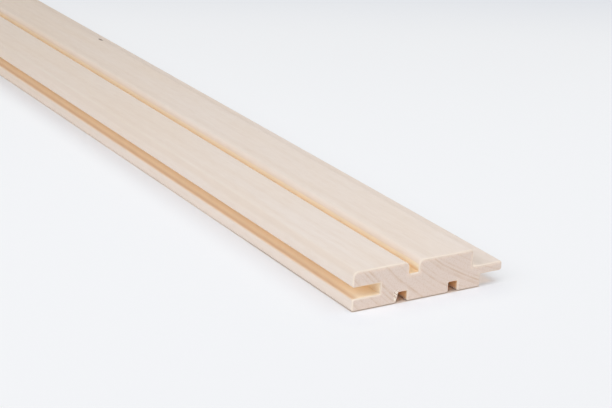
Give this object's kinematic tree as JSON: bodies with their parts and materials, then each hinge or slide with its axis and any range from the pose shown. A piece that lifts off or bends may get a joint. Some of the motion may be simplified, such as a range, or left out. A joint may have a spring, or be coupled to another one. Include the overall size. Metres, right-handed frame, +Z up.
{
  "type": "grooved wood profile",
  "caption": "Tongue-and-grooved wood lining board with a groove down its face, relief grooves in its back and eased edges.",
  "frame": {"origin": "on the floor under the middle of the board, which lies on its back", "axes": "+X across the board towards the tongue, +Y along the grain, +Z up out of the moulded face"},
  "size_m": [0.064, 1.8, 0.015],
  "materials": {
    "pale_wood": "planed smooth, bare"
  },
  "bodies": {
    "root": {"profile_board": "pale_wood"}
  },
  "joints": []
}
